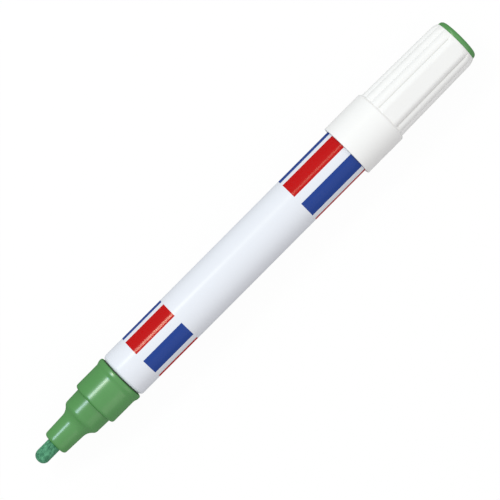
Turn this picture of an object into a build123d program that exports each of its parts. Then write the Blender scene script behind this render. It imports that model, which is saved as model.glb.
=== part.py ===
from build123d import *
import math
import os

# Paint marker lying on its side: the axis is along X, the nib points to -X and the posted cap to +X.
# Stations along the axis are counted in millimetres from the nib's tip.

# Nib
nib_diameter = 4.2
nib_exposed = 6.2
nib_seated = 18.8
nib_tip_rounding = 1.9
nib_rear_chamfer = 0.4
nib_travel = 1.5
nib_running_clearance = 0.05

# Nib holder, from the nose to the flange that meets the barrel
nose_draft = 0.31
nose_length = 6.6
nose_rounding = 0.9
flare_length = 3.8
flare_rise = 1.66
flare_concave_share = 0.7
middle_draft = 0.15
middle_length = 4.2
grip_step = 1.05
grip_drop = 0.2
grip_length = 8.1
grip_rounding = 0.8
flange_rise = 0.16
flange_length = 2.05
flange_slope_length = 0.9
flange_foot_rounding = 2.0
flange_crest_rounding = 1.5
flange_rounding = 0.5
holder_spigot_length = 9.0
holder_spigot_chamfer = 0.6
nib_chamber_clearance = 0.5
neck_clearance = 0.05
neck_wall = 1.0
gasket_thickness = 0.3
gasket_width = 0.9

# Barrel, an aluminium can with a rolled-in mouth and a closed tail
barrel_diameter = 14.0
barrel_wall = 0.5
barrel_mouth_overhang = 1.25
barrel_length = 83.15
barrel_shoulder_rounding = 1.0
shoulder_rounding_share = 0.85
posting_land_length = 12.1
posting_land_drop = 0.2
tail_wall = 0.8
tail_rounding = 0.9

# Valve behind the nib
nib_rear_room = 4.5
seat_wall = 3.0
stem_pin_diameter = 2.2
stem_hole_clearance = 0.2
seat_sleeve_wall = 1.0
seat_flange_length = 1.2
poppet_clearance = 0.5
poppet_seat_gap = 0.03
poppet_disc_length = 1.4
stem_tail_play = 0.4
stem_tail_clearance = 0.1
stem_tail_overhang = 0.6
cage_spigot_length = 2.0
cage_spigot_wall = 0.5
cage_flange_length = 1.0
cage_body_wall = 1.3
cage_body_length = 5.8
cage_end_wall = 1.5
cage_window_count = 4
cage_window_width = 2.4
cage_window_margin = 1.0
spring_wire_diameter = 0.45
spring_clearance = 0.2
spring_turns = 8
spring_seat_gap = 0.02

# Mixing ball, resting on the barrel's lower wall
ball_diameter = 6.0
ball_wall_gap = 0.05
ball_rest_station = 88.0

# Cap, posted on the barrel's tail
cap_lip_gap = 0.1
collar_wall = 0.86
collar_length = 12.8
collar_rounding = 0.4
lip_rounding = 0.25
shoulder_length = 0.7
shoulder_drop = 0.56
cap_draft = 0.38
cap_grip_length = 26.9
rim_bevel_length = 1.5
rim_drop = 0.6
rim_rounding = 1.5
land_count = 2
land_angle = 58.3
land_centre_angle = 13.4
land_flat_width = 3.5
land_drop = 0.35
ribs_between_lands = 5
crease_depth = 0.55
cap_flange_clearance = 0.1
snap_bead_clearance = 0.04
snap_bead_start = 0.6
snap_bead_length = 0.9
tail_end_gap = 0.2
cap_middle_clearance = 0.2
cap_middle_bore_length = 7.1

# Inner cap, the soft liner that seals on the nose
inner_cap_wall = 1.0
inner_cap_length = 14.6
inner_cap_end_wall = 1.0
inner_cap_flange_width = 0.65
inner_cap_flange_length = 1.0
inner_cap_lip_length = 1.2
inner_cap_lip_height = 0.2
inner_cap_lip_clearance = 0.1

# Coloured plug in the cap's end
plug_head_inset = 0.78
plug_head_length = 1.5
plug_head_rounding = 1.2
plug_spigot_wall = 1.0
plug_seat_gap = 0.05

# Clearance of pieces that are pressed together
press_clearance = 0.02

# Stations that follow from the sizes
nose_front = nib_exposed
nose_rear = nose_front + nose_length
middle_front = nose_rear + flare_length
grip_front = middle_front + middle_length
flange_front = grip_front + grip_length
flange_rear = flange_front + flange_length
barrel_front = flange_rear + gasket_thickness
spigot_front = barrel_front + barrel_wall + press_clearance
holder_rear = spigot_front + holder_spigot_length
nib_rear = nib_exposed + nib_seated
socket_floor = nib_rear + nib_travel + nib_rear_room
seat_cone_start = socket_floor + seat_wall
seat_rear = holder_rear + seat_flange_length
cage_flange_rear = seat_rear + cage_flange_length
cage_end_front = cage_flange_rear + cage_body_length
cage_rear = cage_end_front + cage_end_wall
land_front = barrel_front + barrel_length
barrel_rear = land_front + posting_land_length
cap_lip = land_front + cap_lip_gap
collar_rear = cap_lip + collar_length
cap_foot = collar_rear + shoulder_length
cap_top = cap_foot + cap_grip_length
overall_length = cap_top + plug_head_length

# Radii that follow from the sizes
nib_radius = nib_diameter / 2
barrel_radius = barrel_diameter / 2
barrel_bore_radius = barrel_radius - barrel_wall
land_radius = barrel_radius - posting_land_drop
flange_radius = barrel_radius + flange_rise
grip_radius = barrel_radius - grip_drop
middle_rear_radius = grip_radius - grip_step
middle_front_radius = middle_rear_radius - middle_draft
nose_rear_radius = middle_front_radius - flare_rise
nose_front_radius = nose_rear_radius - nose_draft
spigot_radius = barrel_bore_radius - press_clearance
barrel_mouth_radius = barrel_bore_radius - barrel_mouth_overhang
holder_neck_radius = barrel_mouth_radius - neck_clearance
socket_radius = holder_neck_radius - neck_wall
chamber_radius = socket_radius - seat_sleeve_wall
stem_pin_radius = stem_pin_diameter / 2
stem_hole_radius = stem_pin_radius + stem_hole_clearance
poppet_radius = chamber_radius - poppet_clearance
cage_bore_radius = chamber_radius - cage_spigot_wall
cage_radius = cage_bore_radius + cage_body_wall
spring_outer_radius = cage_bore_radius - spring_clearance
spring_radius = spring_outer_radius - spring_wire_diameter / 2
stem_tail_radius = spring_outer_radius - spring_wire_diameter - stem_tail_play
tail_hole_radius = stem_tail_radius + stem_tail_clearance
collar_bore_radius = flange_radius + cap_flange_clearance
collar_radius = collar_bore_radius + collar_wall
cap_foot_radius = collar_radius - shoulder_drop
cap_top_radius = cap_foot_radius - cap_draft
middle_bore_radius = middle_rear_radius + cap_middle_clearance
inner_cap_lip_radius = nose_rear_radius + inner_cap_lip_clearance
inner_cap_bore_radius = inner_cap_lip_radius + inner_cap_lip_height
inner_cap_radius = inner_cap_bore_radius + inner_cap_wall
inner_cap_flange_radius = inner_cap_radius + inner_cap_flange_width
plug_bore_radius = inner_cap_flange_radius + press_clearance
plug_head_radius = cap_top_radius - plug_head_inset

# Places inside the cap
cap_bore_rear = barrel_rear + tail_end_gap
middle_bore_rear = cap_bore_rear + cap_middle_bore_length
plug_spigot_length = cap_top - middle_bore_rear - inner_cap_length - inner_cap_flange_length
inner_cap_rear = cap_top - plug_spigot_length - plug_seat_gap
inner_cap_step = inner_cap_rear - inner_cap_flange_length
inner_cap_mouth = inner_cap_step - inner_cap_length


def turned(*corners):
    """Solid of revolution about X from corners of station, radius and, where given, rounding."""
    points = [corner[:2] for corner in corners]
    roundings = [corner[2] if len(corner) > 2 else 0 for corner in corners]
    outline = FilletPolyline(*points, radius=roundings, close=True)
    return revolve(make_face(outline), Axis.X)


def tube(start, end, inner_radius, outer_radius):
    """Plain ring between two stations."""
    return turned((start, inner_radius), (start, outer_radius), (end, outer_radius), (end, inner_radius))


def around(station, radius, angle):
    """Point at an angle in degrees about the axis, from the top (+Z) towards -Y."""
    turn = math.radians(angle)
    return Vector(station, -radius * math.sin(turn), radius * math.cos(turn))


def make_nib():
    """Fibre rod with a rounded tip."""
    chamfer_radius = nib_radius - nib_rear_chamfer
    return turned(
        (0, 0),
        (0, nib_radius, nib_tip_rounding),
        (nib_rear - nib_rear_chamfer, nib_radius),
        (nib_rear, chamfer_radius),
        (nib_rear, 0),
    )


def make_nib_holder():
    """Stepped front moulding: nose, flare, middle, grip, flange, neck and the spigot in the barrel."""
    # The flare is a concave and a convex arc that meet on the steepest line between the nose and the middle.
    flare_turn = 2 * math.atan2(flare_rise, flare_length)
    bend = math.tan(flare_turn / 2)
    both_arcs = flare_length / math.sin(flare_turn)
    concave_arc = flare_concave_share * both_arcs
    convex_arc = both_arcs - concave_arc
    arc_room = 0.97
    outside = turned(
        (nose_front, 0),
        (nose_front, nose_front_radius, nose_rounding),
        (nose_rear + concave_arc * bend, nose_rear_radius, arc_room * concave_arc),
        (middle_front - convex_arc * bend, middle_front_radius, arc_room * convex_arc),
        (grip_front, middle_rear_radius),
        (grip_front, grip_radius, grip_rounding),
        (flange_front, grip_radius, flange_foot_rounding),
        (flange_front + flange_slope_length, flange_radius, flange_crest_rounding),
        (flange_rear, flange_radius, flange_rounding),
        (flange_rear, holder_neck_radius),
        (spigot_front, holder_neck_radius),
        (spigot_front, spigot_radius),
        (holder_rear - holder_spigot_chamfer, spigot_radius),
        (holder_rear, spigot_radius - holder_spigot_chamfer),
        (holder_rear, 0),
    )
    guide_radius = nib_radius + nib_running_clearance
    paint_radius = nib_radius + nib_chamber_clearance
    inside = turned(
        (nose_front, 0),
        (nose_front, guide_radius),
        (nose_rear, guide_radius),
        (nose_rear, paint_radius),
        (socket_floor, paint_radius),
        (socket_floor, socket_radius),
        (holder_rear, socket_radius),
        (holder_rear, 0),
    )
    return outside - inside


def make_holder_gasket():
    """Thin dark ring squeezed between the holder's flange and the barrel's rolled mouth."""
    return tube(flange_rear, barrel_front, barrel_mouth_radius, barrel_mouth_radius + gasket_width)


def make_barrel():
    """Can with a rolled front mouth, a plain outside wall and a slightly smaller land for the cap."""
    front_width = barrel_radius - barrel_mouth_radius
    outer_rounding = min(barrel_shoulder_rounding, shoulder_rounding_share * front_width)
    inner_rounding = max(outer_rounding - barrel_wall, press_clearance)
    mouth_rear = barrel_front + barrel_wall
    floor = barrel_rear - tail_wall
    return turned(
        (barrel_front, barrel_mouth_radius),
        (barrel_front, barrel_radius, outer_rounding),
        (land_front, barrel_radius),
        (land_front, land_radius),
        (barrel_rear, land_radius, tail_rounding),
        (barrel_rear, 0),
        (floor, 0),
        (floor, barrel_bore_radius, inner_rounding),
        (mouth_rear, barrel_bore_radius),
        (mouth_rear, barrel_mouth_radius),
    )


def make_valve_seat():
    """Sleeve pressed into the holder, with a conical seat and a flange on the holder's rear face."""
    sleeve_radius = socket_radius - press_clearance
    cone_rear = seat_cone_start + chamber_radius - stem_hole_radius
    return turned(
        (socket_floor, stem_hole_radius),
        (socket_floor, sleeve_radius),
        (holder_rear, sleeve_radius),
        (holder_rear, spigot_radius),
        (seat_rear, spigot_radius),
        (seat_rear, chamber_radius),
        (cone_rear, chamber_radius),
        (seat_cone_start, stem_hole_radius),
    )


def make_spring_cage():
    """Windowed cup behind the seat that carries the spring and guides the stem's tail."""
    spigot_front_station = seat_rear - cage_spigot_length
    cage = turned(
        (spigot_front_station, cage_bore_radius),
        (spigot_front_station, chamber_radius - press_clearance),
        (seat_rear, chamber_radius - press_clearance),
        (seat_rear, spigot_radius),
        (cage_flange_rear, spigot_radius),
        (cage_flange_rear, cage_radius),
        (cage_rear, cage_radius),
        (cage_rear, tail_hole_radius),
        (cage_end_front, tail_hole_radius),
        (cage_end_front, cage_bore_radius),
    )
    window_front = cage_flange_rear + cage_window_margin
    window_length = cage_end_front - cage_window_margin - window_front
    window = Box(window_length, cage_window_width, cage_radius, align=(Align.MIN, Align.CENTER, Align.MIN))
    for index in range(cage_window_count):
        turn = Rot(360 / cage_window_count * index, 0, 0)
        cage -= turn * Pos(window_front, 0, stem_tail_radius) * window
    return cage


def poppet_rear():
    """Station of the poppet's rear face, where the spring presses."""
    cone_shift = poppet_seat_gap * math.sqrt(2)
    cone_rear = seat_cone_start + cone_shift + poppet_radius - stem_hole_radius
    return cone_rear + poppet_disc_length


def make_valve_stem():
    """Pin behind the nib, a conical poppet that shuts on the seat, and a guided tail."""
    cone_shift = poppet_seat_gap * math.sqrt(2)
    cone_front = seat_cone_start + cone_shift + stem_pin_radius - stem_hole_radius
    cone_rear = cone_front + poppet_radius - stem_pin_radius
    tail_rear = cage_end_front + stem_tail_overhang
    return turned(
        (nib_rear, 0),
        (nib_rear, stem_pin_radius),
        (cone_front, stem_pin_radius),
        (cone_rear, poppet_radius),
        (poppet_rear(), poppet_radius),
        (poppet_rear(), stem_tail_radius),
        (tail_rear, stem_tail_radius),
        (tail_rear, 0),
    )


def biarc(start, start_tangent, end, end_tangent):
    """Two arcs in space that join two points with the given unit tangents."""
    reach = end - start
    tangents = start_tangent + end_tangent
    square = 4 - tangents.dot(tangents)
    across = reach.dot(tangents)
    handle = (math.sqrt(across**2 + square * reach.dot(reach)) - across) / square
    middle = (start + start_tangent * handle + end - end_tangent * handle) * 0.5
    middle_tangent = (end - end_tangent * handle - start - start_tangent * handle).normalized()
    first = TangentArc(start, middle, tangent=start_tangent)
    second = TangentArc(middle, end, tangent=middle_tangent)
    return [first, second]


def make_valve_spring():
    """Open coil between the poppet and the cage's end wall, wound from quarter-turn biarcs."""
    wire_radius = spring_wire_diameter / 2
    first = poppet_rear() + spring_seat_gap + wire_radius
    last = cage_end_front - spring_seat_gap - wire_radius
    rise = (last - first) / (2 * math.pi * spring_turns)
    quarters_per_turn = 4
    quarter_count = quarters_per_turn * spring_turns

    def point(quarter):
        turn = quarter * math.pi / 2
        return Vector(first + rise * turn, spring_radius * math.cos(turn), spring_radius * math.sin(turn))

    def tangent(quarter):
        turn = quarter * math.pi / 2
        return Vector(rise, -spring_radius * math.sin(turn), spring_radius * math.cos(turn)).normalized()

    arcs = []
    for quarter in range(quarter_count):
        following = quarter + 1
        arcs += biarc(point(quarter), tangent(quarter), point(following), tangent(following))
    path = Wire(arcs)
    section = Plane(origin=point(0), z_dir=tangent(0)) * Circle(wire_radius)
    spring = sweep(section, path)
    samples_per_quarter = 12
    sample_count = samples_per_quarter * quarter_count
    samples = [path @ (step / sample_count) for step in range(sample_count + 1)]
    half_turn = samples_per_quarter * quarters_per_turn // 2
    gaps = []
    for index, sample in enumerate(samples):
        gaps += [(sample - other).length for other in samples[index + half_turn:]]
    print(f"valve spring: least gap to itself {min(gaps) - spring_wire_diameter:.2f} mm")
    expected = path.length * math.pi * wire_radius**2
    print(f"valve spring: volume {spring.volume:.3f} mm3, section times length {expected:.3f} mm3")
    return spring


def make_mixing_ball():
    """Steel ball, loose in the paint, at rest on the barrel's lower wall."""
    ball_radius = ball_diameter / 2
    drop = barrel_bore_radius - ball_radius - ball_wall_gap
    return Pos(ball_rest_station, 0, -drop) * Sphere(ball_radius)


def fluted_face(station, crest_radius):
    """Cross-section of the cap's upper body: wide flattened lands with round ribs between them."""
    scale = crest_radius / cap_foot_radius
    crease_radius = crest_radius - crease_depth * scale
    flat_half = land_flat_width / 2 * scale
    flat_height = crest_radius - land_drop * scale
    flat_radius = math.hypot(flat_half, flat_height)
    flat_angle = math.degrees(math.atan2(flat_half, flat_height))
    pitch = 360 / land_count
    rib_angle = (pitch - land_angle) / ribs_between_lands
    edges = []
    for index in range(land_count):
        centre = land_centre_angle + pitch * index
        crease_before = around(station, crease_radius, centre - land_angle / 2)
        flat_before = around(station, flat_radius, centre - flat_angle)
        flat_after = around(station, flat_radius, centre + flat_angle)
        crease_after = around(station, crease_radius, centre + land_angle / 2)
        flat_direction = (flat_after - flat_before).normalized()
        edges.append(TangentArc(flat_before, crease_before, tangent=-flat_direction))
        edges.append(Line(flat_before, flat_after))
        edges.append(TangentArc(flat_after, crease_after, tangent=flat_direction))
        for rib in range(ribs_between_lands):
            rib_start = centre + land_angle / 2 + rib_angle * rib
            rib_crease = around(station, crease_radius, rib_start)
            rib_crest = around(station, crest_radius, rib_start + rib_angle / 2)
            next_crease = around(station, crease_radius, rib_start + rib_angle)
            edges.append(ThreePointArc(rib_crease, rib_crest, next_crease))
    return make_face(Wire(edges))


def make_cap_shell():
    """Cap moulding: round collar over the barrel's tail, sloped shoulder and a drafted, fluted upper body."""
    draft = cap_draft / (cap_grip_length - rim_bevel_length)
    buried = shoulder_length + collar_rounding
    flutes_start = cap_foot - buried
    flutes = loft(
        [
            fluted_face(flutes_start, cap_foot_radius + draft * buried),
            fluted_face(cap_top, cap_foot_radius - draft * cap_grip_length),
        ],
        ruled=True,
    )
    bevel_start = cap_top - rim_bevel_length
    envelope = turned(
        (flutes_start, 0),
        (flutes_start, cap_foot_radius + crease_depth),
        (cap_foot, cap_foot_radius + crease_depth),
        (bevel_start, cap_top_radius, rim_rounding),
        (cap_top, cap_top_radius - rim_drop),
        (cap_top, 0),
    )
    collar = turned(
        (cap_lip, 0),
        (cap_lip, collar_radius, lip_rounding),
        (collar_rear, collar_radius, collar_rounding),
        (cap_foot, cap_foot_radius - crease_depth),
        (cap_foot, 0),
    )
    bead_front = cap_lip + snap_bead_start
    bead_rear = bead_front + snap_bead_length
    bead_radius = land_radius + snap_bead_clearance
    bead_depth = collar_bore_radius - bead_radius
    inside = turned(
        (cap_lip, 0),
        (cap_lip, collar_bore_radius),
        (bead_front - bead_depth, collar_bore_radius),
        (bead_front, bead_radius),
        (bead_rear, bead_radius),
        (bead_rear + bead_depth, collar_bore_radius),
        (cap_bore_rear, collar_bore_radius),
        (cap_bore_rear, middle_bore_radius),
        (middle_bore_rear, middle_bore_radius),
        (middle_bore_rear, inner_cap_radius + press_clearance),
        (inner_cap_step, inner_cap_radius + press_clearance),
        (inner_cap_step, plug_bore_radius),
        (cap_top, plug_bore_radius),
        (cap_top, 0),
    )
    return collar + (flutes & envelope) - inside


def make_inner_cap():
    """Soft cup inside the cap whose lip closes on the nose when the cap is on the nib end."""
    lip_rear = inner_cap_mouth + inner_cap_lip_length
    lip_relief = lip_rear + inner_cap_lip_height
    floor = inner_cap_rear - inner_cap_end_wall
    return turned(
        (inner_cap_mouth, inner_cap_bore_radius),
        (inner_cap_mouth, inner_cap_radius),
        (inner_cap_step, inner_cap_radius),
        (inner_cap_step, inner_cap_flange_radius),
        (inner_cap_rear, inner_cap_flange_radius),
        (inner_cap_rear, 0),
        (floor, 0),
        (floor, inner_cap_bore_radius),
        (lip_relief, inner_cap_bore_radius),
        (lip_rear, inner_cap_lip_radius),
    )


def make_cap_end_plug():
    """Coloured button in the cap's end, on a hollow spigot that holds the inner cap down."""
    spigot_start = cap_top - plug_spigot_length
    return turned(
        (spigot_start, plug_bore_radius - press_clearance - plug_spigot_wall),
        (spigot_start, plug_bore_radius - press_clearance),
        (cap_top, plug_bore_radius - press_clearance),
        (cap_top, plug_head_radius),
        (overall_length, plug_head_radius, plug_head_rounding),
        (overall_length, 0),
        (cap_top, 0),
        (cap_top, plug_bore_radius - press_clearance - plug_spigot_wall),
    )


pieces = {
    "nib": make_nib(),
    "nib_holder": make_nib_holder(),
    "holder_gasket": make_holder_gasket(),
    "barrel": make_barrel(),
    "valve_seat": make_valve_seat(),
    "spring_cage": make_spring_cage(),
    "valve_stem": make_valve_stem(),
    "valve_spring": make_valve_spring(),
    "mixing_ball": make_mixing_ball(),
    "cap_shell": make_cap_shell(),
    "inner_cap": make_inner_cap(),
    "cap_end_plug": make_cap_end_plug(),
}

# The origin lies under the middle of the marker, on the surface that its collar rests on.
place = Pos(-overall_length / 2, 0, collar_radius)
os.makedirs("parts", exist_ok=True)
for name, piece in pieces.items():
    export_step(place * piece, f"parts/{name}.step")
print(f"overall {overall_length:.2f} mm long, {2 * collar_radius:.2f} mm across the collar")
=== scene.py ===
import math

import bmesh
import bpy
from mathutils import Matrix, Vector, noise


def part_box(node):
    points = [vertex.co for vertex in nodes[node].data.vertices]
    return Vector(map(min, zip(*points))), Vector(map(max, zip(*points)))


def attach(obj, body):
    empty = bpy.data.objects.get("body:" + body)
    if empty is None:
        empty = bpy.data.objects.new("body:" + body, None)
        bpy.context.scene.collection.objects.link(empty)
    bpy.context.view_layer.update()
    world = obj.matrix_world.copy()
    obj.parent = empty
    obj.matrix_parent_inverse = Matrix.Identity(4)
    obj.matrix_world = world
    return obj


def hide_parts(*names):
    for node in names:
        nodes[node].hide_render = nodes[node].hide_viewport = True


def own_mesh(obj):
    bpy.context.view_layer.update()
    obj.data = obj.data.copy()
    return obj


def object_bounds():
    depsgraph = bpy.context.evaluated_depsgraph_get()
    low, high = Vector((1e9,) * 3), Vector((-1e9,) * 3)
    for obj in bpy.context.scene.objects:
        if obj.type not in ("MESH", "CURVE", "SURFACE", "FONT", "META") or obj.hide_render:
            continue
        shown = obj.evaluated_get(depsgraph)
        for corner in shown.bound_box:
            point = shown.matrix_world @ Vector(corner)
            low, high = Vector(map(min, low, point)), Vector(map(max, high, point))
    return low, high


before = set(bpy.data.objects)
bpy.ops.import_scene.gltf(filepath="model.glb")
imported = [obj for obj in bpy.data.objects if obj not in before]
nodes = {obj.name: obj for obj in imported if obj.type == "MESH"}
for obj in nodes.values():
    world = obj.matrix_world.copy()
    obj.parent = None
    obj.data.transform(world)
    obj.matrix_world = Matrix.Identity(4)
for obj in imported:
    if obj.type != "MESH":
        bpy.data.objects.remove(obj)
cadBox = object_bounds()  # the CAD model's own box, before anything is dressed
mm = 0.001

barrelLow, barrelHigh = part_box("barrel")
axisHeight = (barrelLow.z + barrelHigh.z) / 2  # the marker's axis runs along X at this height


# mesh helpers
def radiusOf(node):
    low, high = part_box(node)
    return (high.z - low.z) / 2


def around(x, radius, degrees):
    turn = math.radians(degrees)  # from the top of the marker towards -Y
    return Vector((x, -radius * math.sin(turn), axisHeight + radius * math.cos(turn)))


def angleOf(point):
    return math.degrees(math.atan2(-point.y, point.z - axisHeight))


def outwardOf(point):
    return math.hypot(point.y, point.z - axisHeight)


def softMax(first, second, softness):
    return (first + second + math.hypot(first - second, softness)) / 2


def softMin(first, second, softness):
    return (first + second - math.hypot(first - second, softness)) / 2


def evenSteps(start, end, count):
    return [start + (end - start) * step / count for step in range(count + 1)]


def fullTurn(segments):
    return evenSteps(0, 360, segments)[:-1]


def roundedOutline(corners, arcSteps=8):
    # a corner is x, radius and rounding; a rounded one becomes an arc that touches both of its runs
    outline = []
    for index, (x, radius, rounding) in enumerate(corners):
        corner = Vector((x, radius))
        if not rounding:
            outline.append(corner)
            continue
        before = (Vector(corners[index - 1][:2]) - corner).normalized()
        after = (Vector(corners[index + 1][:2]) - corner).normalized()
        half = before.angle(after) / 2
        middle = (before + after).normalized()
        centre = corner + middle * (rounding / math.sin(half))
        side = Vector((-middle.y, middle.x))
        if side.dot(before) < 0:
            side = -side
        for swing in evenSteps(math.pi / 2 - half, half - math.pi / 2, arcSteps):
            outline.append(centre - middle * rounding * math.cos(swing) + side * rounding * math.sin(swing))
    return outline


def splitRuns(outline, longest):
    # adds points along straight runs, so that no face is longer than this
    split = [outline[0]]
    for start, end in zip(outline, outline[1:]):
        count = max(1, math.ceil((end - start).length / longest))
        split += [start.lerp(end, step / count) for step in range(1, count + 1)]
    return split


def skin(name, rings, closed=False, sharpAngle=40):
    # rings of points become one smooth surface; a ring of one point closes the surface on the axis
    points = [point for ring in rings for point in ring]
    starts = [sum(len(ring) for ring in rings[:index]) for index in range(len(rings))]
    pairs = list(zip(range(len(rings)), range(1, len(rings))))
    if closed:
        pairs.append((len(rings) - 1, 0))
    faces = []
    for first, second in pairs:
        firstCount, secondCount = len(rings[first]), len(rings[second])
        count = max(firstCount, secondCount)
        for step in range(count):
            following = (step + 1) % count
            corners = [
                starts[first] + step % firstCount,
                starts[first] + following % firstCount,
                starts[second] + following % secondCount,
                starts[second] + step % secondCount,
            ]
            faces.append(list(dict.fromkeys(corners)))
    mesh = bpy.data.meshes.new(name)
    mesh.from_pydata(points, [], faces)
    work = bmesh.new()
    work.from_mesh(mesh)
    bmesh.ops.recalc_face_normals(work, faces=work.faces)
    work.to_mesh(mesh)
    work.free()
    mesh.shade_smooth()
    mesh.set_sharp_from_angle(angle=math.radians(sharpAngle))
    piece = bpy.data.objects.new(name, mesh)
    bpy.context.collection.objects.link(piece)
    return piece


def turnedRings(outline, angles):
    rings = []
    for x, radius in outline:
        onAxis = radius < 1e-6
        rings.append([around(x, radius, 0)] if onAxis else [around(x, radius, angle) for angle in angles])
    return rings


# shader helpers
class Wire:  # a shader socket that takes part in sums
    def __init__(self, finish, socket):
        self.finish = finish
        self.socket = socket

    def sum(self, operation, first, second):
        return self.finish.node("ShaderNodeMath", {"operation": operation}, {0: first, 1: second})

    def __add__(self, other):
        return self.sum("ADD", self, other)

    def __radd__(self, other):
        return self.sum("ADD", other, self)

    def __sub__(self, other):
        return self.sum("SUBTRACT", self, other)

    def __rsub__(self, other):
        return self.sum("SUBTRACT", other, self)

    def __mul__(self, other):
        return self.sum("MULTIPLY", self, other)

    def __rmul__(self, other):
        return self.sum("MULTIPLY", other, self)

    def __or__(self, other):
        return self.sum("MAXIMUM", self, other)


class Finish:  # the nodes of one material or world
    def __init__(self, owner):
        self.owner = owner
        owner.use_nodes = True
        self.tree = owner.node_tree
        self.tree.nodes.clear()

    def node(self, kind, settings=None, sockets=None, output=0):
        made = self.tree.nodes.new(kind)
        for key, value in (settings or {}).items():
            if key == "stops":
                for element, (position, grey) in zip(made.color_ramp.elements, value):
                    element.position = position
                    element.color = (grey, grey, grey, 1)
            else:
                setattr(made, key, value)
        for key, value in (sockets or {}).items():
            if isinstance(value, Wire):
                self.tree.links.new(value.socket, made.inputs[key])
            else:
                made.inputs[key].default_value = value
        return Wire(self, made.outputs[output]) if made.outputs else None

    def grain(self, size, detail=2.0, stretch=(1, 1, 1)):
        # noise with grains of about this size, drawn out along the axes whose stretch is above 1
        place = self.node("ShaderNodeTexCoord", output="Object")
        steps = [size * part for part in stretch]
        scaled = self.node("ShaderNodeVectorMath", {"operation": "DIVIDE"}, {0: place, 1: steps})
        return self.node("ShaderNodeTexNoise", {}, {"Vector": scaled, "Scale": 1.0, "Detail": detail})

    def above(self, value, start, end):
        # 0 below start and 1 above end, with a ramp between
        return self.node("ShaderNodeValToRGB", {"stops": [(start, 0), (end, 1)]}, {"Fac": value})

    def tint(self, share, first, second):
        colours = {0: share, 6: first, 7: second}
        return self.node("ShaderNodeMix", {"data_type": "RGBA"}, colours, output=2)

    def mottled(self, share, base, spread):
        # a colour that is darker where the share is low and lighter where it is high
        return self.tint(share, shaded(base, 1 - spread), shaded(base, 1 + spread))

    def relief(self, height, depth):
        return self.node("ShaderNodeBump", {}, {"Height": height, "Distance": depth, "Strength": 1.0})

    def faceOn(self):
        # 1 where the surface faces the eye, 0 along its outline
        return 1 - self.node("ShaderNodeLayerWeight", {}, {"Blend": 0.5}, output="Facing")

    def seen(self):
        # 1 for rays that show the background, also by gloss and glass, 0 for those that light the marker
        camera = self.node("ShaderNodeLightPath", output="Is Camera Ray")
        glossy = self.node("ShaderNodeLightPath", output="Is Glossy Ray")
        through = self.node("ShaderNodeLightPath", output="Is Transmission Ray")
        return camera | glossy | through

    def surface(self, sockets):
        shader = self.node("ShaderNodeBsdfPrincipled", {}, sockets)
        self.node("ShaderNodeOutputMaterial", {}, {"Surface": shader})
        return self.owner


def newFinish(name):
    return Finish(bpy.data.materials.new(name))


def colour(red, green, blue):
    return (red, green, blue, 1.0)


def shaded(base, factor):
    return tuple(part * factor for part in base[:3]) + (1.0,)


def varied(middle, share, spread):
    # a number that swings with the share, by this much to either side
    return middle + (share - 0.5) * (2 * spread)


# finishes, where a spread is how far a value swings to either side of its middle
greenPlastic = {
    "base": colour(0.050, 0.249, 0.045),
    "baseSpread": 0.10,
    "roughness": 0.40,
    "roughnessSpread": 0.1,
    "specular": 0.0,
    "skin": 0.95,  # the glossy skin of the moulding
    "skinSpread": 0.15,
    "skinIor": 1.78,
    "skinRoughness": 0.26,
    "cloudSize": 9 * mm,
    "grainSize": 0.25 * mm,
    "grainDepth": 0.0007 * mm,
}


def makeGreenPlastic():
    look = greenPlastic
    finish = newFinish("green_moulding")
    cloud = finish.grain(look["cloudSize"], detail=3)
    fine = finish.grain(look["grainSize"])
    return finish.surface({
        "Base Color": finish.mottled(cloud, look["base"], look["baseSpread"]),
        "Roughness": varied(look["roughness"], cloud, look["roughnessSpread"]),
        "Specular IOR Level": look["specular"],
        "Coat Weight": look["skin"] * varied(1, cloud, look["skinSpread"]) * finish.faceOn(),
        "Coat IOR": look["skinIor"],
        "Coat Roughness": look["skinRoughness"],
        "Normal": finish.relief(fine, look["grainDepth"]),
    })


lacquer = {
    "white": {"name": "barrel_lacquer", "base": colour(0.792, 0.815, 0.888), "baseSpread": 0.012,
              "clearRoughness": 0.24},
    "red": {"name": "red_ink", "base": colour(0.510, 0.0005, 0.001), "baseSpread": 0.05,
            "clearRoughness": 0.15},
    "blue": {"name": "blue_ink", "base": colour(0.013, 0.052, 0.290), "baseSpread": 0.05,
             "clearRoughness": 0.15},
    "specular": 0.0,
    "roughness": 0.30,
    "roughnessSpread": 0.1,
    "clear": 0.37,  # the clear lacquer over the ink
    "clearSpread": 0.1,
    "cloudSize": 6 * mm,
    "cloudShare": 0.7,  # the rest of the unevenness is specks
    "speckSize": 0.15 * mm,
    "peelSize": 0.9 * mm,  # the lacquer's faint orange peel
    "peelDepth": 0.0004 * mm,
}


def makeLacquer(coat):
    look = lacquer
    finish = newFinish(coat["name"])
    cloud = finish.grain(look["cloudSize"], detail=3)
    speck = finish.grain(look["speckSize"])
    peel = finish.grain(look["peelSize"])
    share = cloud * look["cloudShare"] + speck * (1 - look["cloudShare"])
    return finish.surface({
        "Base Color": finish.mottled(share, coat["base"], coat["baseSpread"]),
        "Roughness": varied(look["roughness"], speck, look["roughnessSpread"]),
        "Specular IOR Level": look["specular"],
        "Coat Weight": look["clear"] * varied(1, share, look["clearSpread"]) * finish.faceOn(),
        "Coat Roughness": coat["clearRoughness"],
        "Normal": finish.relief(peel, look["peelDepth"]),
    })


capPlastic = {
    "base": colour(0.899, 0.897, 0.907),
    "baseSpread": 0.015,
    "grooveShade": colour(0.72, 0.72, 0.71),  # painted shade in the grooves beside the lands
    "roughness": 0.45,
    "roughnessSpread": 0.05,
    "specular": 0.05,
    "skin": 0.16,
    "skinRoughness": 0.28,
    "cloudSize": 11 * mm,
    "grainSize": 0.2 * mm,
    "grainDepth": 0.003 * mm,
}


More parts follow.
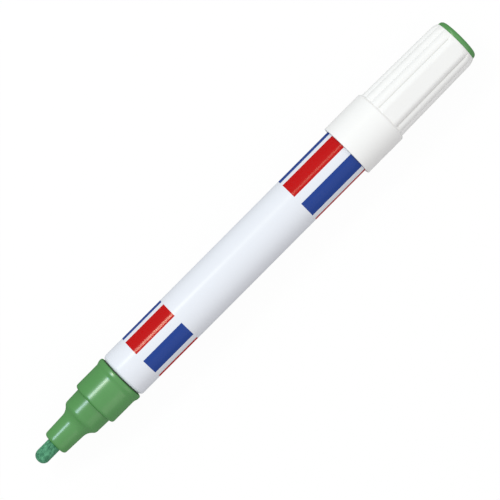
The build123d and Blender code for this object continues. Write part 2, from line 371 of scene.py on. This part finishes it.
def makeCapPlastic():
    look = capPlastic
    finish = newFinish("cap_plastic")
    cloud = finish.grain(look["cloudSize"], detail=3)
    fine = finish.grain(look["grainSize"])
    # the groove mark paints shade into the base colour beside the lands and takes the gloss away there
    grooveShade = finish.node("ShaderNodeAttribute", {"attribute_name": "grooveShade"}, output="Fac")
    clean = finish.mottled(cloud, look["base"], look["baseSpread"])
    return finish.surface({
        "Base Color": finish.tint(grooveShade, clean, look["grooveShade"]),
        "Roughness": varied(look["roughness"], fine, look["roughnessSpread"]),
        "Specular IOR Level": look["specular"],
        "Coat Weight": look["skin"] * (1 - grooveShade) * finish.faceOn(),
        "Coat Roughness": look["skinRoughness"],
        "Normal": finish.relief(fine, look["grainDepth"]),
    })


nibFibre = {
    "dark": colour(0.024, 0.120, 0.066),
    "light": colour(0.142, 0.435, 0.250),
    "darkBelow": 0.36,
    "lightAbove": 0.64,
    "roughness": 0.65,
    "roughnessSpread": 0.2,
    "specular": 0.06,
    "strandSize": 0.14 * mm,
    "strandStretch": (7, 1, 1),
    "strandShare": 0.6,  # the rest of the unevenness is clumps
    "strandDepth": 0.05 * mm,
    "clumpSize": 0.8 * mm,
}


def makeNibFibre():
    look = nibFibre
    finish = newFinish("nib_fibre")
    strands = finish.grain(look["strandSize"], detail=3, stretch=look["strandStretch"])
    clumps = finish.grain(look["clumpSize"])
    uneven = strands * look["strandShare"] + clumps * (1 - look["strandShare"])
    share = finish.above(uneven, look["darkBelow"], look["lightAbove"])
    return finish.surface({
        "Base Color": finish.tint(share, look["dark"], look["light"]),
        "Roughness": varied(look["roughness"], clumps, look["roughnessSpread"]),
        "Specular IOR Level": look["specular"],
        "Normal": finish.relief(strands, look["strandDepth"]),
    })


gasketRubber = {
    "dark": colour(0.027, 0.033, 0.027),
    "light": colour(0.0675, 0.0825, 0.0675),
    "roughness": 0.6,
    "roughnessSpread": 0.1,
    "grainSize": 0.1 * mm,
    "grainDepth": 0.006 * mm,
}


def makeGasketRubber():
    look = gasketRubber
    finish = newFinish("gasket_rubber")
    fine = finish.grain(look["grainSize"], detail=3)
    return finish.surface({
        "Base Color": finish.tint(fine, look["dark"], look["light"]),
        "Roughness": varied(look["roughness"], fine, look["roughnessSpread"]),
        "Normal": finish.relief(fine, look["grainDepth"]),
    })


wetPlastic = {
    "valve": {"name": "valve_plastic", "base": colour(0.74, 0.74, 0.70), "stained": 0.08},
    "liner": {"name": "liner_plastic", "base": colour(0.80, 0.80, 0.77), "stained": 0.0},
    "baseSpread": 0.05,
    "stain": colour(0.10, 0.33, 0.12),
    "stainSize": 2.2 * mm,
    "stainStart": 0.62,  # comes down where more is stained
    "stainEdge": 0.08,
    "stainGloss": 0.2,
    "roughness": 0.42,
    "roughnessSpread": 0.05,
    "grainSize": 0.15 * mm,
    "grainDepth": 0.004 * mm,
}


def makeWetPlastic(plastic):
    # natural plastic that the paint has touched here and there
    look = wetPlastic
    finish = newFinish(plastic["name"])
    start = look["stainStart"] - plastic["stained"]
    patches = finish.above(finish.grain(look["stainSize"], detail=4), start, start + look["stainEdge"])
    fine = finish.grain(look["grainSize"])
    clean = finish.mottled(fine, plastic["base"], look["baseSpread"])
    return finish.surface({
        "Base Color": finish.tint(patches, clean, look["stain"]),
        "Roughness": varied(look["roughness"], fine, look["roughnessSpread"]) - patches * look["stainGloss"],
        "Normal": finish.relief(fine, look["grainDepth"]),
    })


steel = {
    "wire": {"name": "spring_steel", "roughness": 0.25, "stretch": (6, 1, 1)},
    "ball": {"name": "ball_steel", "roughness": 0.12, "stretch": (1, 1, 1)},
    "base": colour(0.60, 0.60, 0.62),
    "baseSpread": 0.15,
    "roughnessSpread": 0.06,
    "lineSize": 0.06 * mm,
    "lineDepth": 0.002 * mm,
    "filmSize": 1.6 * mm,  # patches of dried paint
    "filmStart": 0.60,
    "filmFull": 0.68,
    "filmRoughness": 0.2,
}


def makeSteel(metal):
    # drawn lines run along the stretched axis
    look = steel
    finish = newFinish(metal["name"])
    lines = finish.grain(look["lineSize"], detail=3, stretch=metal["stretch"])
    film = finish.above(finish.grain(look["filmSize"], detail=3), look["filmStart"], look["filmFull"])
    bare = finish.mottled(lines, look["base"], look["baseSpread"])
    roughness = varied(metal["roughness"], lines, look["roughnessSpread"])
    return finish.surface({
        "Base Color": finish.tint(film, bare, wetPlastic["stain"]),
        "Metallic": 1 - film,
        "Roughness": roughness + film * look["filmRoughness"],
        "Normal": finish.relief(lines, look["lineDepth"]),
    })


finishes = {
    "green": makeGreenPlastic(),
    "white": makeLacquer(lacquer["white"]),
    "red": makeLacquer(lacquer["red"]),
    "blue": makeLacquer(lacquer["blue"]),
    "cap": makeCapPlastic(),
    "fibre": makeNibFibre(),
    "rubber": makeGasketRubber(),
    "valve": makeWetPlastic(wetPlastic["valve"]),
    "liner": makeWetPlastic(wetPlastic["liner"]),
    "wire": makeSteel(steel["wire"]),
    "ball": makeSteel(steel["ball"]),
}
print("finishes:", len(finishes))

# CAD nodes that keep their shape take a finish
nodeFinishes = {
    "holder_gasket": "rubber",
    "valve_seat": "valve",
    "spring_cage": "valve",
    "valve_stem": "valve",
    "inner_cap": "liner",
    "mixing_ball": "ball",
}
for node, finish in nodeFinishes.items():
    nodes[node].data.materials.clear()
    nodes[node].data.materials.append(finishes[finish])
print("nodes kept:", ", ".join(nodeFinishes))


# barrel: a can with printed bars, whose faces follow the bars' edges
barrelForm = {
    "segments": 720,
    "wall": 0.5 * mm,
    "mouthOverhang": 1.25 * mm,
    "frontRounding": 1.0 * mm,
    "landLength": 12.1 * mm,  # the tail under the cap
    "landDrop": 0.2 * mm,
    "tailWall": 0.8 * mm,
    "tailRounding": 0.9 * mm,
    "longestFace": 3 * mm,
}
bars = {
    "pairTurns": [0, 123, 243],  # three pairs round the barrel, in degrees
    "halfWidth": 21,
    "redCentre": -31.4,
    "blueCentre": 30.7,
    # start and end from the barrel's front, and a slight turn
    "spans": [(7.1 * mm, 21.2 * mm, -0.9), (64.95 * mm, 93.9 * mm, 1.1)],
}


def barInk(degrees, fromFront):
    for start, end, turn in bars["spans"]:
        for pairTurn in bars["pairTurns"]:
            for ink, centre in enumerate((bars["redCentre"], bars["blueCentre"]), 1):
                offset = (degrees - centre - pairTurn - turn + 180) % 360 - 180
                if start < fromFront < end and abs(offset) < bars["halfWidth"]:
                    return ink
    return 0


def makeBarrel():
    form = barrelForm
    radius = radiusOf("barrel")
    bore = radius - form["wall"]
    mouth = bore - form["mouthOverhang"]
    front, rear = barrelLow.x, barrelHigh.x
    landFront = rear - form["landLength"]
    landRadius = radius - form["landDrop"]
    floor = rear - form["tailWall"]
    barEdges = sorted(front + edge for span in bars["spans"] for edge in span[:2])
    outline = roundedOutline([
        (floor, 0, 0),
        (floor, bore, form["tailRounding"] - form["wall"]),
        (front + form["wall"], bore, 0),
        (front + form["wall"], mouth, 0),
        (front, mouth, 0),
        (front, radius, form["frontRounding"]),
        *[(edge, radius, 0) for edge in barEdges if edge < landFront],
        (landFront, radius, 0),
        (landFront, landRadius, 0),
        *[(edge, landRadius, 0) for edge in barEdges if edge > landFront],
        (rear, landRadius, form["tailRounding"]),
        (rear, 0, 0),
    ])
    rings = turnedRings(splitRuns(outline, form["longestFace"]), fullTurn(form["segments"]))
    barrel = skin("barrel_can", rings)
    for finish in ("white", "red", "blue"):
        barrel.data.materials.append(finishes[finish])
    for face in barrel.data.polygons:
        middle = face.center
        if outwardOf(middle) > (bore + landRadius) / 2:
            face.material_index = barInk(angleOf(middle), middle.x - front)
    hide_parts("barrel")
    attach(barrel, "body")


makeBarrel()
print("barrel: printed can")


# nib holder: the stepped green moulding, turned about the axis
holderForm = {
    "segments": 360,
    "arcSteps": 12,
    "longestFace": 0.6 * mm,
    "noseLength": 6.6 * mm,
    "noseDraft": 0.31 * mm,
    "noseRounding": 0.9 * mm,
    "flareLength": 3.8 * mm,
    "flareRise": 1.66 * mm,
    "flareConcaveShare": 0.7,
    "arcRoom": 0.97,  # keeps the flare's two arcs just apart
    "middleLength": 4.2 * mm,
    "middleDraft": 0.15 * mm,
    "gripStep": 1.05 * mm,
    "gripDrop": 0.2 * mm,  # under the barrel's radius
    "gripLength": 8.1 * mm,
    "gripRounding": 0.8 * mm,
    "flangeSlope": 0.9 * mm,
    "flangeFootRounding": 2.0 * mm,
    "flangeCrestRounding": 1.5 * mm,
    "flangeRounding": 0.5 * mm,
    "neckClearance": 0.05 * mm,
    "neckWall": 1.0 * mm,
    "spigotClearance": 0.02 * mm,
    "spigotLength": 9.0 * mm,
    "spigotChamfer": 0.6 * mm,
    "guideClearance": 0.05 * mm,
    "paintClearance": 0.5 * mm,
    "socketLength": 9.77 * mm,
}


def makeHolder():
    form = holderForm
    low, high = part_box("nib_holder")
    noseFront, rear = low.x, high.x
    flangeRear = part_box("holder_gasket")[0].x
    noseRear = noseFront + form["noseLength"]
    middleFront = noseRear + form["flareLength"]
    gripFront = middleFront + form["middleLength"]
    flangeFront = gripFront + form["gripLength"]
    spigotFront = rear - form["spigotLength"]
    flange = radiusOf("nib_holder")
    grip = radiusOf("barrel") - form["gripDrop"]
    middleRear = grip - form["gripStep"]
    middle = middleRear - form["middleDraft"]
    noseBack = middle - form["flareRise"]
    nose = noseBack - form["noseDraft"]
    spigot = radiusOf("barrel") - barrelForm["wall"] - form["spigotClearance"]
    neck = radiusOf("barrel") - barrelForm["wall"] - barrelForm["mouthOverhang"] - form["neckClearance"]
    socket = neck - form["neckWall"]
    guide = radiusOf("nib") + form["guideClearance"]
    paint = radiusOf("nib") + form["paintClearance"]
    # the flare is a concave and a convex arc that all but meet on its steepest line
    flareTurn = 2 * math.atan2(form["flareRise"], form["flareLength"])
    bend = math.tan(flareTurn / 2)
    bothArcs = form["flareLength"] / math.sin(flareTurn)
    concave = form["flareConcaveShare"] * bothArcs
    convex = bothArcs - concave
    outline = roundedOutline([
        (noseFront, guide, 0),
        (noseFront, nose, form["noseRounding"]),
        (noseRear + concave * bend, noseBack, form["arcRoom"] * concave),
        (middleFront - convex * bend, middle, form["arcRoom"] * convex),
        (gripFront, middleRear, 0),
        (gripFront, grip, form["gripRounding"]),
        (flangeFront, grip, form["flangeFootRounding"]),
        (flangeFront + form["flangeSlope"], flange, form["flangeCrestRounding"]),
        (flangeRear, flange, form["flangeRounding"]),
        (flangeRear, neck, 0),
        (spigotFront, neck, 0),
        (spigotFront, spigot, 0),
        (rear - form["spigotChamfer"], spigot, 0),
        (rear, spigot - form["spigotChamfer"], 0),
        (rear, socket, 0),
        (rear - form["socketLength"], socket, 0),
        (rear - form["socketLength"], paint, 0),
        (noseRear, paint, 0),
        (noseRear, guide, 0),
    ], form["arcSteps"])
    rings = turnedRings(splitRuns(outline, form["longestFace"]), fullTurn(form["segments"]))
    holder = skin("nib_holder_moulding", rings, closed=True)
    holder.data.materials.append(finishes["green"])
    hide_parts("nib_holder")
    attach(holder, "body")


makeHolder()
print("nib holder: turned moulding")


# nib: a rod of pressed fibres whose surface is ridged by the strands
nibForm = {
    "segments": 200,
    "rings": 150,
    "tipRounding": 1.9 * mm,
    "tipRings": 26,
    "rearChamfer": 0.4 * mm,
    "strandDepth": 0.035 * mm,
    "clumpDepth": 0.03 * mm,
    "strandsAround": 26,
    "strandLength": 1.8 * mm,
    "clumpSize": 0.7 * mm,
    "leastRadius": 0.3 * mm,  # nearer the axis the strands get no finer
    "sharpAngle": 80,
}


def fibreSink(point, radius):
    # how far the surface sinks between the strands, never outwards
    form = nibForm
    x, y, z = point.x, point.y, point.z - axisHeight
    reach = form["strandsAround"] / (2 * math.pi * max(radius, form["leastRadius"]))
    strand = noise.noise(Vector((x / form["strandLength"], y * reach, z * reach)))
    clump = noise.noise(Vector((x, y, z)) / form["clumpSize"])
    return (0.5 + strand / 2) * form["strandDepth"] + (0.5 + clump / 2) * form["clumpDepth"]


def makeNib():
    form = nibForm
    low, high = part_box("nib")
    radius = radiusOf("nib")
    tip, rear = low.x, high.x
    outline = roundedOutline([
        (tip, 0, 0),
        (tip, radius, form["tipRounding"]),
        (rear - form["rearChamfer"], radius, 0),
        (rear, radius - form["rearChamfer"], 0),
        (rear, 0, 0),
    ], form["tipRings"])
    rings = turnedRings(splitRuns(outline, (rear - tip) / form["rings"]), fullTurn(form["segments"]))
    for ring in rings:
        for point in ring:
            fromAxis = Vector((0, point.y, point.z - axisHeight))
            sink = fibreSink(point, fromAxis.length)
            inward = Vector((max(0, tip + form["tipRounding"] - point.x), 0, 0)) - fromAxis
            if inward.length > 0:
                point += inward.normalized() * sink
    nib = skin("nib_fibres", rings, sharpAngle=form["sharpAngle"])
    nib.data.materials.append(finishes["fibre"])
    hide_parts("nib")
    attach(nib, "nib_and_valve")


makeNib()
print("nib: fibre rod")


# cap: a round collar, a sloped shoulder and a drafted grip of wide lands with round ribs between them
capForm = {
    "stepsPerLand": 360,
    "lands": 2,
    "landCentre": 13.4,  # degrees
    "landAngle": 58.3,
    "flatWidth": 3.5 * mm,
    "landDrop": 0.35 * mm,
    "ribs": 5,  # between two lands
    "creaseDepth": 0.55 * mm,
    "creaseSoftness": 0.05 * mm,
    # how far the painted shade reaches from a land's edge
    "grooveShadeWidth": 0.16 * mm,
    "collarLength": 12.8 * mm,
    "collarSoftness": 0.12 * mm,
    "lipRounding": 0.25 * mm,
    "shoulderLength": 0.7 * mm,
    "shoulderDrop": 0.56 * mm,
    "shoulderSoftness": 0.06 * mm,
    "draft": 0.38 * mm,
    "rimLength": 1.5 * mm,
    "rimDrop": 0.6 * mm,
    "rimSoftness": 0.16 * mm,
    "rimRounding": 0.12 * mm,
    "rimArcSteps": 5,
    "shoulderMargin": 0.6 * mm,  # the close rings start before the shoulder and end behind its foot
    "footMargin": 0.3 * mm,
    "rimMargin": 0.8 * mm,
    "ringCounts": [8, 24, 12, 22],  # on the collar, the shoulder, the grip and the rim
    "collarWall": 0.86 * mm,
    "collarBoreDepth": 12.2 * mm,
    "throatRadius": 5.95 * mm,
    "throatDepth": 19.3 * mm,
    "linerClearance": 0.02 * mm,
    "linerFlangeWidth": 0.65 * mm,
    "linerFlangeLength": 1.0 * mm,
    "beadDepth": 0.42 * mm,
    "beadStart": 0.6 * mm,
    "beadLength": 0.9 * mm,
}
capLow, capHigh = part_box("cap_shell")
capLip, capTop = capLow.x, capHigh.x
collarRadius = radiusOf("cap_shell")
collarRear = capLip + capForm["collarLength"]
capFoot = collarRear + capForm["shoulderLength"]
footRadius = collarRadius - capForm["shoulderDrop"]
topRadius = footRadius - capForm["draft"]
rimStart = capTop - capForm["rimLength"]


def rayToCircle(turn, across, outward, radius):
    # how far out a ray at this angle leaves a circle, or 0 where it misses
    along = across * math.sin(turn) + outward * math.cos(turn)
    under = radius ** 2 - across ** 2 - outward ** 2 + along ** 2
    return along + math.sqrt(under) if under > 0 else 0.0


def bowOf(half, rise):
    return (half ** 2 + rise ** 2) / (2 * rise)  # radius of an arc from its half width and its rise


def fromLand(degrees):
    # degrees from the middle of the nearest land
    pitch = 360 / capForm["lands"]
    return abs((degrees - capForm["landCentre"] + pitch / 2) % pitch - pitch / 2)


def fluteRadius(degrees, crest):
    form = capForm
    size = crest / footRadius  # the section shrinks with the draft
    turn = math.radians(fromLand(degrees))
    halfLand = math.radians(form["landAngle"] / 2)
    ribTurn = math.radians((360 / form["lands"] - form["landAngle"]) / form["ribs"])
    crease = crest - form["creaseDepth"] * size
    flatHalf = form["flatWidth"] / 2 * size
    flatHeight = crest - form["landDrop"] * size
    if turn <= math.atan2(flatHalf, flatHeight):
        height = flatHeight / math.cos(turn)
    else:
        landBow = bowOf(crease * math.sin(halfLand) - flatHalf, flatHeight - crease * math.cos(halfLand))
        height = rayToCircle(turn, flatHalf, flatHeight - landBow, landBow)
    ribBow = bowOf(crease * math.sin(ribTurn / 2), crest - crease * math.cos(ribTurn / 2))
    for rib in range(form["ribs"]):
        fromCrest = turn - halfLand - ribTurn * (rib + 0.5)
        height = softMax(height, rayToCircle(fromCrest, 0, crest - ribBow, ribBow), form["creaseSoftness"])
    return height


def grooveShadeShare(x, degrees):
    # 1 in the groove at a land's edge, where shade is painted, 0 away from it
    form = capForm
    away = math.radians(fromLand(degrees) - form["landAngle"] / 2) * footRadius
    return math.exp(-(away / form["grooveShadeWidth"]) ** 2) if capFoot < x < rimStart else 0.0


def capRadius(x, degrees):
    form = capForm
    slope = (form["shoulderDrop"] + form["creaseDepth"]) / form["shoulderLength"]
    collar = softMin(collarRadius, collarRadius - slope * (x - collarRear), form["collarSoftness"])
    crest = footRadius - form["draft"] * (x - capFoot) / (rimStart - capFoot)
    rim = topRadius - form["rimDrop"] * (x - rimStart) / form["rimLength"]
    grip = softMin(fluteRadius(degrees, crest), rim, form["rimSoftness"])
    return softMax(collar, grip, form["shoulderSoftness"])


def makeCap():
    form = capForm
    angles = fullTurn(form["stepsPerLand"] * form["lands"])
    boreRadius = collarRadius - form["collarWall"]
    plugBore = radiusOf("inner_cap") + form["linerClearance"]
    linerBore = plugBore - form["linerFlangeWidth"]
    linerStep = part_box("inner_cap")[1].x - form["linerFlangeLength"]
    beadFront = capLip + form["beadStart"]
    beadRear = beadFront + form["beadLength"]
    bead = boreRadius - form["beadDepth"]
    inside = [
        (capTop, plugBore),
        (linerStep, plugBore),
        (linerStep, linerBore),
        (capLip + form["throatDepth"], linerBore),
        (capLip + form["throatDepth"], form["throatRadius"]),
        (capLip + form["collarBoreDepth"], form["throatRadius"]),
        (capLip + form["collarBoreDepth"], boreRadius),
        (beadRear + form["beadDepth"], boreRadius),
        (beadRear, bead),
        (beadFront, bead),
        (beadFront - form["beadDepth"], boreRadius),
        (capLip, boreRadius),
    ]
    lip = roundedOutline([
        (capLip, boreRadius, 0),
        (capLip, collarRadius, form["lipRounding"]),
        (collarRear, collarRadius, 0),
    ])[1:-1]
    rimRound = form["rimRounding"]
    edges = [
        lip[-1].x,
        collarRear - form["shoulderMargin"],
        capFoot + form["footMargin"],
        rimStart - form["rimMargin"],
        capTop - rimRound,
    ]
    rings = turnedRings(lip, angles)
    for start, end, ringCount in zip(edges, edges[1:], form["ringCounts"]):
        for x in evenSteps(start, end, ringCount)[1:]:
            rings.append([around(x, capRadius(x, angle), angle) for angle in angles])
    for swing in evenSteps(0, math.pi / 2, form["rimArcSteps"])[1:]:
        x = capTop - rimRound * (1 - math.sin(swing))
        sink = rimRound * (1 - math.cos(swing))
        rings.append([around(x, capRadius(capTop, angle) - sink, angle) for angle in angles])
    rings += turnedRings([Vector(point) for point in inside], angles)
    cap = skin("cap_shell_fluted", rings, closed=True)
    cap.data.materials.append(finishes["cap"])
    # each outer point gets how much painted shade lies on it in the grooves beside the lands
    grooveShade = cap.data.attributes.new("grooveShade", "FLOAT", "POINT")
    for vertex, mark in zip(cap.data.vertices, grooveShade.data):
        if outwardOf(vertex.co) > (plugBore + topRadius) / 2:
            mark.value = grooveShadeShare(vertex.co.x, angleOf(vertex.co))
    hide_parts("cap_shell")
    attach(cap, "cap")


makeCap()
print("cap: fluted shell")


# cap end plug: the green button in the cap's end, on a hollow spigot
plugForm = {
    "segments": 360,
    "arcSteps": 14,
    "longestFace": 0.6 * mm,
    "headLength": 1.5 * mm,
    "headRounding": 1.2 * mm,
    "spigotWall": 1.0 * mm,
}


def makePlug():
    form = plugForm
    low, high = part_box("cap_end_plug")
    headFront = high.x - form["headLength"]
    head = radiusOf("cap_end_plug")
    spigot = radiusOf("inner_cap")
    bore = spigot - form["spigotWall"]
    outline = roundedOutline([
        (headFront, 0, 0),
        (headFront, bore, 0),
        (low.x, bore, 0),
        (low.x, spigot, 0),
        (headFront, spigot, 0),
        (headFront, head, 0),
        (high.x, head, form["headRounding"]),
        (high.x, 0, 0),
    ], form["arcSteps"])
    rings = turnedRings(splitRuns(outline, form["longestFace"]), fullTurn(form["segments"]))
    plug = skin("cap_end_button", rings)
    plug.data.materials.append(finishes["green"])
    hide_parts("cap_end_plug")
    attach(plug, "cap")


makePlug()
print("cap end plug: turned button")


# valve spring: one wound wire between the poppet and the cage's end wall
springForm = {
    "turns": 8,
    "stepsPerTurn": 40,
    "wire": 0.45 * mm,
    "sides": 14,
    "travel": 1.5 * mm,  # how far the pressed nib shortens it
}


def makeSpring():
    form = springForm
    low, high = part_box("valve_spring")
    wireRadius = form["wire"] / 2
    coilRadius = radiusOf("valve_spring") - wireRadius
    first, last = low.x + wireRadius, high.x - wireRadius
    count = form["turns"] * form["stepsPerTurn"]
    rise = (last - first) / (2 * math.pi * form["turns"])
    rings = []
    for step in range(count + 1):
        turn = 2 * math.pi * step / form["stepsPerTurn"]
        outward = Vector((0, math.cos(turn), math.sin(turn)))
        along = Vector((rise, -coilRadius * math.sin(turn), coilRadius * math.cos(turn))).normalized()
        across = along.cross(outward)
        centre = Vector((first + rise * turn, 0, axisHeight)) + outward * coilRadius
        ring = []
        for side in range(form["sides"]):
            swing = 2 * math.pi * side / form["sides"]
            ring.append(centre + (outward * math.cos(swing) + across * math.sin(swing)) * wireRadius)
        if step == 0:
            rings.append([centre])
        rings.append(ring)
        if step == count:
            rings.append([centre])
    spring = skin("valve_spring_coil", rings)
    spring.data.materials.append(finishes["wire"])
    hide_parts("valve_spring")
    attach(spring, "body")
    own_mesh(spring)


makeSpring()
print("spring: wound coil")


# studio: a pale floor, an even fill, and soft boxes on the upper left, on the right and at the cap's end
studio = {
    "floorSize": 3.0,
    "floorColour": colour(0.25, 0.25, 0.25),
    "floorGrain": 40 * mm,
    "floorSpread": 0.01,
    "floorShadow": 0.04,  # how much of the shadow shows on the white floor
    "backdrop": colour(1, 1, 1),
    "fill": 0.715,  # how much of the white world lights the marker
    "cool": (0.58, 0.74, 1.0),
    "warm": (1.0, 0.98, 0.70),
    "mild": (1.0, 0.96, 0.84),
    "plain": (1.0, 1.0, 1.0),
    # a box's tilt goes from the top towards +Y and its lean towards the nib, in degrees
    "softBoxes": [
        {"name": "nib_end_box", "x": -0.161, "tilt": 38, "lean": 0, "distance": 0.55, "size": (0.158, 0.10),
         "radiance": 12.0, "light": "cool"},
        {"name": "front_box", "x": -0.055, "tilt": 36.0, "lean": 0, "distance": 0.55, "size": (0.034, 0.095),
         "radiance": 36.0, "light": "warm"},
        {"name": "cap_end_box", "x": 0.09, "tilt": 34.6, "lean": 0, "distance": 0.55, "size": (0.20, 0.072),
         "radiance": 6.3, "light": "warm"},
        {"name": "right_box", "x": 0.12, "tilt": -58, "lean": 0, "distance": 0.60, "size": (0.60, 0.40),
         "radiance": 0.45, "light": "mild"},
        {"name": "end_box", "x": 0.45, "tilt": 0, "lean": 50, "distance": 0.32, "size": (0.35, 0.35),
         "radiance": 0.25, "light": "plain"},
        {"name": "cap_left_box", "x": 0.34, "tilt": 50, "lean": 41, "distance": 0.50, "size": (0.14, 0.15),
         "radiance": 3.2, "light": "plain"},
    ],
}


def makeFloor():
    half = studio["floorSize"] / 2
    mesh = bpy.data.meshes.new("floor")
    corners = [(-half, -half, 0), (half, -half, 0), (half, half, 0), (-half, half, 0)]
    mesh.from_pydata(corners, [], [(0, 1, 2, 3)])
    floor = bpy.data.objects.new("floor", mesh)
    bpy.context.collection.objects.link(floor)
    finish = newFinish("floor_paper")
    grain = finish.grain(studio["floorGrain"], detail=3)
    darker = shaded(studio["floorColour"], 1 - studio["floorSpread"])
    paper = finish.tint(grain, darker, studio["floorColour"])
    seen = finish.seen()
    matte = finish.node("ShaderNodeBsdfDiffuse", {}, {"Color": finish.tint(seen, paper, studio["backdrop"])})
    white = finish.node("ShaderNodeEmission", {}, {"Color": studio["backdrop"], "Strength": 1.0})
    share = seen * (1 - studio["floorShadow"])
    mixed = finish.node("ShaderNodeMixShader", {}, {0: share, 1: matte, 2: white})
    finish.node("ShaderNodeOutputMaterial", {}, {"Surface": mixed})
    mesh.materials.append(finish.owner)


def makeWorld():
    world = bpy.data.worlds.new("studio_world")
    bpy.context.scene.world = world
    finish = Finish(world)
    strength = studio["fill"] + finish.seen() * (1 - studio["fill"])
    background = finish.node("ShaderNodeBackground", {}, {"Color": studio["backdrop"], "Strength": strength})
    finish.node("ShaderNodeOutputWorld", {}, {"Surface": background})


def makeSoftBox(box):
    light = bpy.data.lights.new(box["name"], "AREA")
    light.shape = "RECTANGLE"
    light.size, light.size_y = box["size"]
    light.energy = box["radiance"] * math.pi * box["size"][0] * box["size"][1]
    light.color = studio[box["light"]]
    lamp = bpy.data.objects.new(box["name"], light)
    tilt = math.radians(box["tilt"])
    across = box["distance"] * math.sin(tilt)
    above = box["distance"] * math.cos(tilt)
    lamp.location = (box["x"], across, axisHeight + above)
    lamp.rotation_euler = (-tilt, math.radians(box["lean"]), 0)
    bpy.context.collection.objects.link(lamp)


makeFloor()
makeWorld()
for box in studio["softBoxes"]:
    makeSoftBox(box)
print("studio: floor, fill and", len(studio["softBoxes"]), "soft boxes")


# camera: straight above, with the marker across the picture from the lower left to the upper right
view = {
    "height": 0.73,
    "pictureWidth": 130.95 * mm,  # on the level of the axis
    "pixels": 500,
    "turn": -45.12,
    "markerLeft": 1.43,  # the marker's middle lies this many pixels left of the picture's middle
    "markerUp": 0.66,
    "sensor": 36.0,
}


def makeCamera():
    data = bpy.data.cameras.new("camera")
    camera = bpy.data.objects.new("camera", data)
    bpy.context.collection.objects.link(camera)
    turn = math.radians(view["turn"])
    right = Vector((math.cos(turn), math.sin(turn), 0))
    up = Vector((-math.sin(turn), math.cos(turn), 0))
    pixel = view["pictureWidth"] / view["pixels"]
    middle = (cadBox[0] + cadBox[1]) / 2
    offset = (right * view["markerLeft"] - up * view["markerUp"]) * pixel
    aim = Vector((middle.x, middle.y, axisHeight)) + offset
    camera.location = aim + Vector((0, 0, view["height"]))
    camera.rotation_euler = (0, 0, turn)
    data.sensor_width = view["sensor"]
    data.lens = view["sensor"] * view["height"] / view["pictureWidth"]
    bpy.context.scene.camera = camera


makeCamera()
bpy.context.scene.view_settings.view_transform = "Standard"
print("camera: set")
